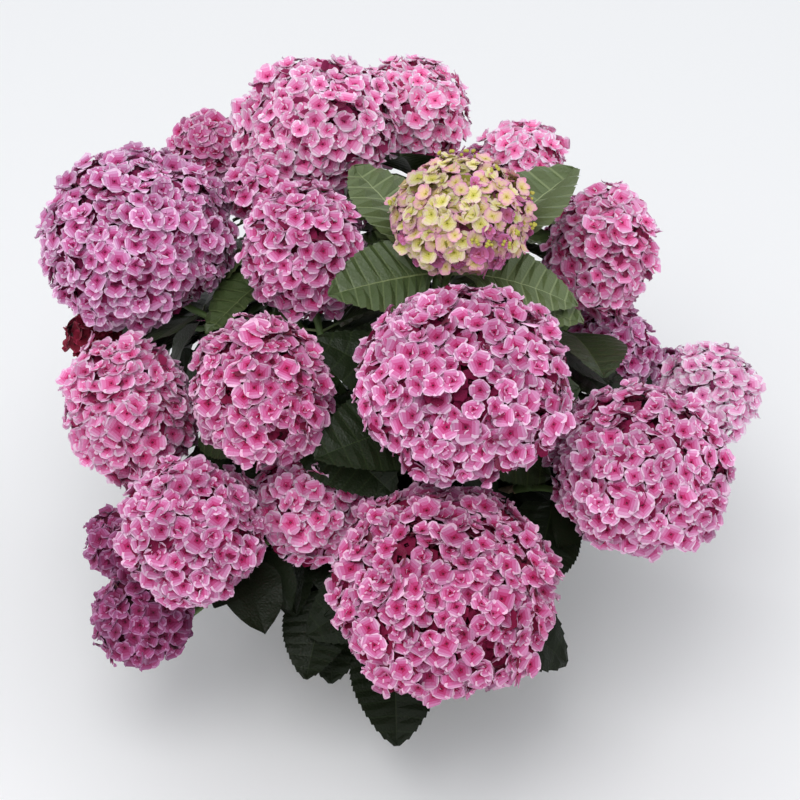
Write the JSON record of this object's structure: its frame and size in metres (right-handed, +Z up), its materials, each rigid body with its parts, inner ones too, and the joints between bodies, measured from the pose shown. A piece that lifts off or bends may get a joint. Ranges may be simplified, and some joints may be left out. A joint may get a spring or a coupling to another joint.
{
  "type": "hydrangea shrub",
  "caption": "Rounded mophead hydrangea shrub: a short woody stool, arching canes, crossed pairs of broad leaves and dense round pink flower heads.",
  "frame": {"origin": "middle of the flat cut under the stool, at ground level", "axes": "+Z up, -Y towards the front of the shrub, +X to its right seen from the front"},
  "size_m": [0.8474, 0.9109, 0.7061],
  "materials": {
    "old_bark": "rough, grey-brown, flaking bark",
    "cane_bark": "smooth dull tan bark with darker nodes",
    "flowering_growth": "soft matt pink petals over dull green leaves",
    "leafy_growth": "dull green, quilted leaves"
  },
  "bodies": {
    "root": {"bough_back_left": "cane_bark", "bough_back_low": "cane_bark", "bough_back_right": "cane_bark", "bough_back_top": "cane_bark", "bough_centre": "cane_bark", "bough_front_left": "cane_bark", "bough_front_low": "cane_bark", "bough_leafy_back": "cane_bark", "bough_leafy_front": "cane_bark", "bough_leafy_front_left": "cane_bark", "bough_leafy_left": "cane_bark", "bough_leafy_middle": "cane_bark", "bough_leafy_right": "cane_bark", "bough_left_back": "cane_bark", "bough_left_low": "cane_bark", "bough_left_mid": "cane_bark", "bough_left_top": "cane_bark", "bough_mid_left": "cane_bark", "bough_right_back": "cane_bark", "bough_right_high": "cane_bark", "bough_right_low": "cane_bark", "bough_top": "cane_bark", "bough_young": "cane_bark", "mass_back_left": "flowering_growth", "mass_back_low": "flowering_growth", "mass_back_right": "flowering_growth", "mass_back_top": "flowering_growth", "mass_centre": "flowering_growth", "mass_front_left": "flowering_growth", "mass_front_low": "flowering_growth", "mass_leafy_back": "leafy_growth", "mass_leafy_front": "leafy_growth", "mass_leafy_front_left": "leafy_growth", "mass_leafy_left": "leafy_growth", "mass_leafy_middle": "leafy_growth", "mass_leafy_right": "leafy_growth", "mass_left_back": "flowering_growth", "mass_left_low": "flowering_growth", "mass_left_mid": "flowering_growth", "mass_left_top": "flowering_growth", "mass_mid_left": "flowering_growth", "mass_right_back": "flowering_growth", "mass_right_high": "flowering_growth", "mass_right_low": "flowering_growth", "mass_top": "flowering_growth", "mass_young": "flowering_growth", "trunk": "old_bark"}
  },
  "joints": []
}
